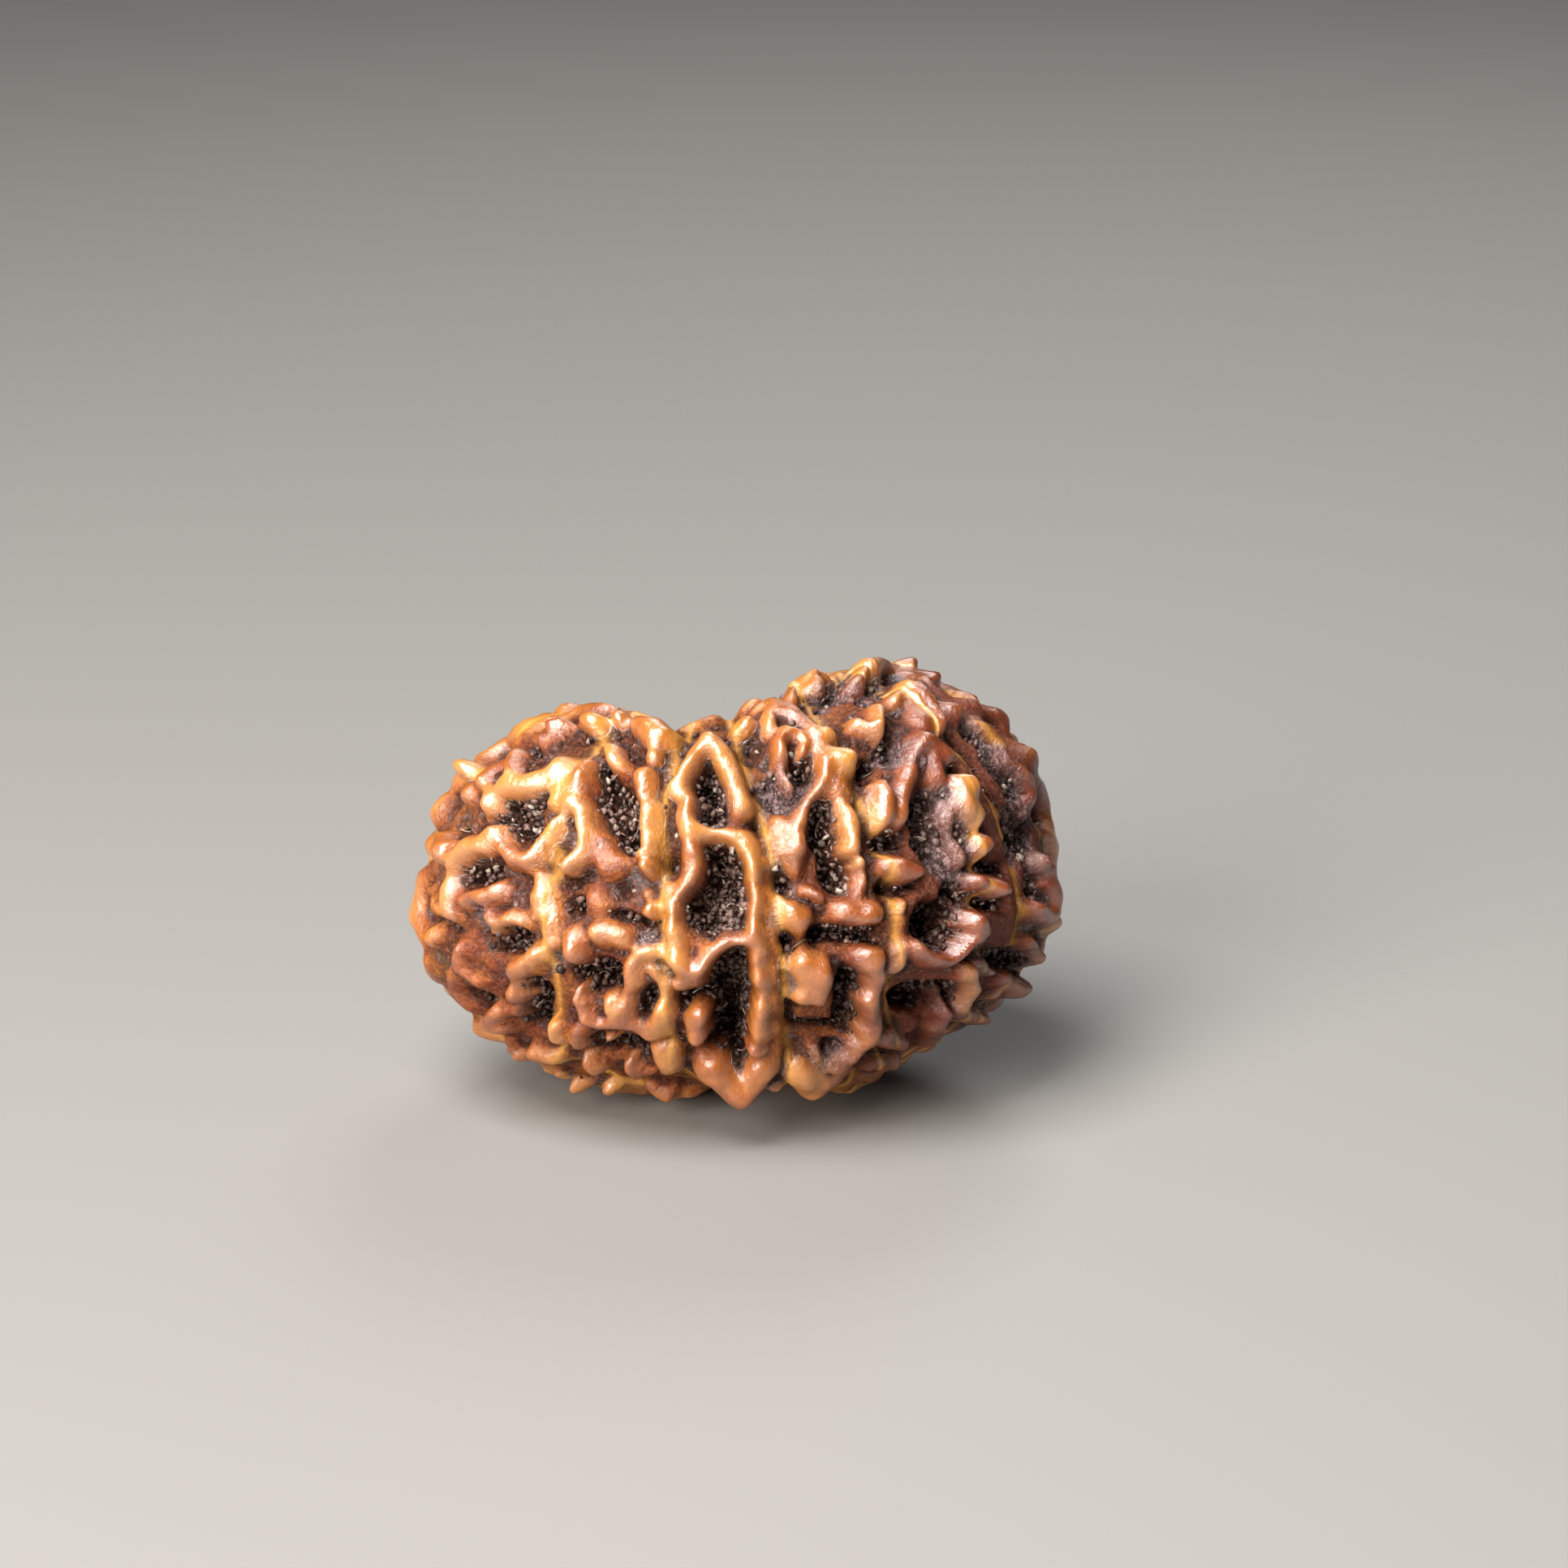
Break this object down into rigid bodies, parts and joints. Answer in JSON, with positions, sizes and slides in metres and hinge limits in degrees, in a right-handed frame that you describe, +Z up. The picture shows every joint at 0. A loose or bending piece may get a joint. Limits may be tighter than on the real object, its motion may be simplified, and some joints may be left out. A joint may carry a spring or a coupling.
{
  "type": "fifteen mukhi rudraksha bead",
  "caption": "Rudraksha bead: a wide, two-lobed woody stone with many faces, a raised net of rounded ridges, knobs and dark pits, and a natural thread canal from pole to pole.",
  "frame": {"origin": "centre of the bead's box, on the table that it rests on", "axes": "+X to the right lobe along the bead's width, -Y to the front, +Z up; the canal leans back from +Z"},
  "size_m": [0.0271, 0.0198, 0.0185],
  "materials": {
    "oiled_endocarp": "rubbed with oil: glossy on the ridges, dull and dark in the pits"
  },
  "bodies": {
    "root": {"rudraksha_bead": "oiled_endocarp"}
  },
  "joints": []
}
